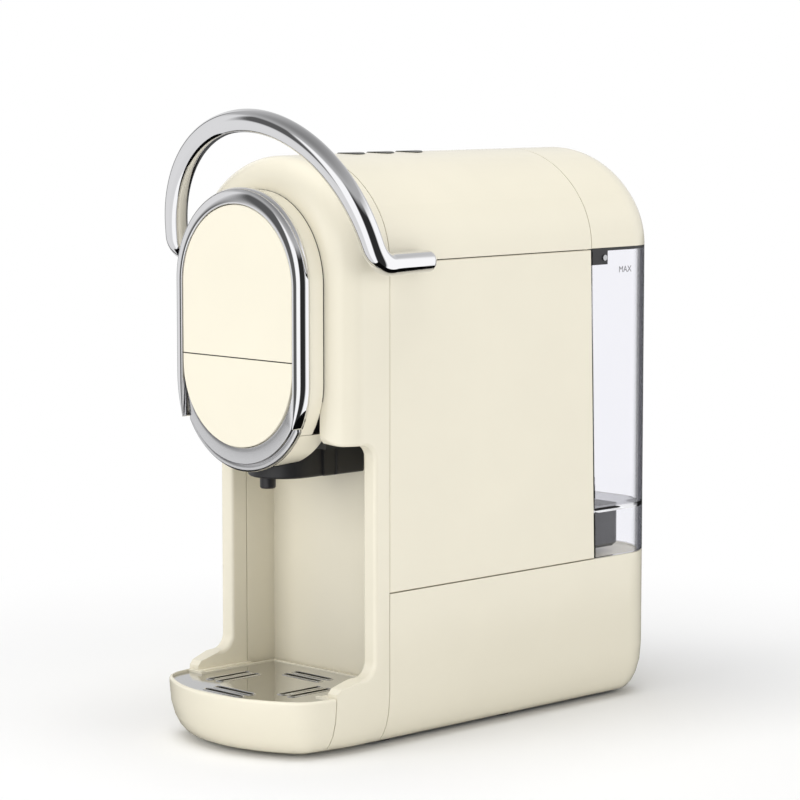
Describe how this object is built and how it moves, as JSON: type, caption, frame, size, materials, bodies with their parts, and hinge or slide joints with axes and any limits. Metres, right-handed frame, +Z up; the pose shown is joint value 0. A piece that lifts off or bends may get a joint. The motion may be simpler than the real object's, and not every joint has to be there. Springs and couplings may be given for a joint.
{
  "type": "pod coffee machine",
  "caption": "Narrow pod coffee machine with a bent lever handle, a capsule drawer under an oval face, a drip tray in front and a clear water tank behind.",
  "frame": {"origin": "on the table under the middle of the machine's bounding box", "axes": "+Z up, -Y towards the front with the cup bay, +X towards the machine's left as it faces forward, which is the right side in the picture"},
  "size_m": [0.1532, 0.27, 0.3099],
  "materials": {
    "cream_plastic": "glossy",
    "polished_chrome": "polished",
    "satin_metal": "satin",
    "dark_plastic": "satin",
    "button_plastic": "glossy",
    "clear_plastic": "clear",
    "black_rubber": "matt",
    "cast_alloy": "as cast",
    "bush_brass": "turned",
    "board_green": "satin"
  },
  "bodies": {
    "machine": {"base_housing": "cream_plastic", "base_plate": "dark_plastic", "brew_frame": "cast_alloy", "brew_hose": "black_rubber", "case_screws": "satin_metal", "control_board": "board_green", "cord_grommet": "black_rubber", "cup_bay_liner": "cream_plastic", "drawer_rails": "dark_plastic", "flow_meter": "dark_plastic", "front_shell": "cream_plastic", "guide_rods": "satin_metal", "head_collar": "cream_plastic", "inlet_hose": "black_rubber", "pump_hose": "black_rubber", "pump_mounts": "black_rubber", "rear_bulkhead": "dark_plastic", "rubber_feet": "black_rubber", "shaft_bushes": "bush_brass", "side_panel_left": "cream_plastic", "side_panel_right": "cream_plastic", "spout_block": "dark_plastic", "spout_nozzle": "dark_plastic", "suction_hose": "black_rubber", "tact_switches": "dark_plastic", "tank_seat": "dark_plastic", "tank_seat_seal": "black_rubber", "thermoblock": "cast_alloy", "top_cover": "cream_plastic", "upper_face_plate": "cream_plastic", "upper_ring_trim": "polished_chrome", "water_pump": "dark_plastic"},
    "handle": {"handle_bail": "polished_chrome", "handle_shaft": "satin_metal", "shaft_cranks": "satin_metal"},
    "piston": {"piston_carriage": "cast_alloy", "brew_piston": "cast_alloy", "piston_seal": "black_rubber", "piercing_needle": "satin_metal", "feed_tube": "satin_metal"},
    "drawer": {"drawer_face": "cream_plastic", "drawer_bezel": "satin_metal", "drawer_trough": "cream_plastic", "basket_carrier": "dark_plastic", "capsule_basket": "satin_metal"},
    "small_cup_button": {"button_small": "button_plastic"},
    "large_cup_button": {"button_large": "button_plastic"},
    "power_button": {"button_power": "button_plastic"},
    "tray": {"drip_tray": "cream_plastic"},
    "grid": {"drip_grid": "polished_chrome"},
    "tank": {"water_tank": "clear_plastic", "tank_rim": "dark_plastic", "tank_rivets": "satin_metal", "tank_valve_body": "dark_plastic", "valve_plunger": "dark_plastic"},
    "lid": {"tank_lid": "cream_plastic"}
  },
  "joints": [
    {"name": "handle_lift", "type": "hinge", "parent": "machine", "child": "handle", "pos_m": [0, -0.0495, 0.237], "axis": [-1, 0, 0], "range_deg": [0, 80]},
    {"name": "piston_lift", "type": "slide", "parent": "machine", "child": "piston", "axis": [0, 0, 1], "range_m": [0, 0.01286]},
    {"name": "capsule_drawer", "type": "slide", "parent": "machine", "child": "drawer", "axis": [0, -1, 0], "range_m": [0, 0.055]},
    {"name": "small_cup_press", "type": "slide", "parent": "machine", "child": "small_cup_button", "axis": [0, 0, -1], "range_m": [0, 0.0015], "stiffness_N_per_m": 800},
    {"name": "large_cup_press", "type": "slide", "parent": "machine", "child": "large_cup_button", "axis": [0, 0, -1], "range_m": [0, 0.0015], "stiffness_N_per_m": 800},
    {"name": "power_press", "type": "slide", "parent": "machine", "child": "power_button", "axis": [0, 0, -1], "range_m": [0, 0.0015], "stiffness_N_per_m": 800},
    {"name": "tray_slide", "type": "slide", "parent": "machine", "child": "tray", "axis": [0, -1, 0], "range_m": [0, 0.08]},
    {"name": "grid_lift", "type": "slide", "parent": "tray", "child": "grid", "axis": [0, 0, 1], "range_m": [0, 0.03]},
    {"name": "tank_lift", "type": "slide", "parent": "machine", "child": "tank", "axis": [0, 0, 1], "range_m": [0, 0.12]},
    {"name": "lid_lift", "type": "slide", "parent": "tank", "child": "lid", "axis": [0, 0, 1], "range_m": [0, 0.05]}
  ],
  "couplings": [
    {"joint": "piston_lift", "follows": "handle_lift", "m_per_rad": 0.0092073}
  ]
}
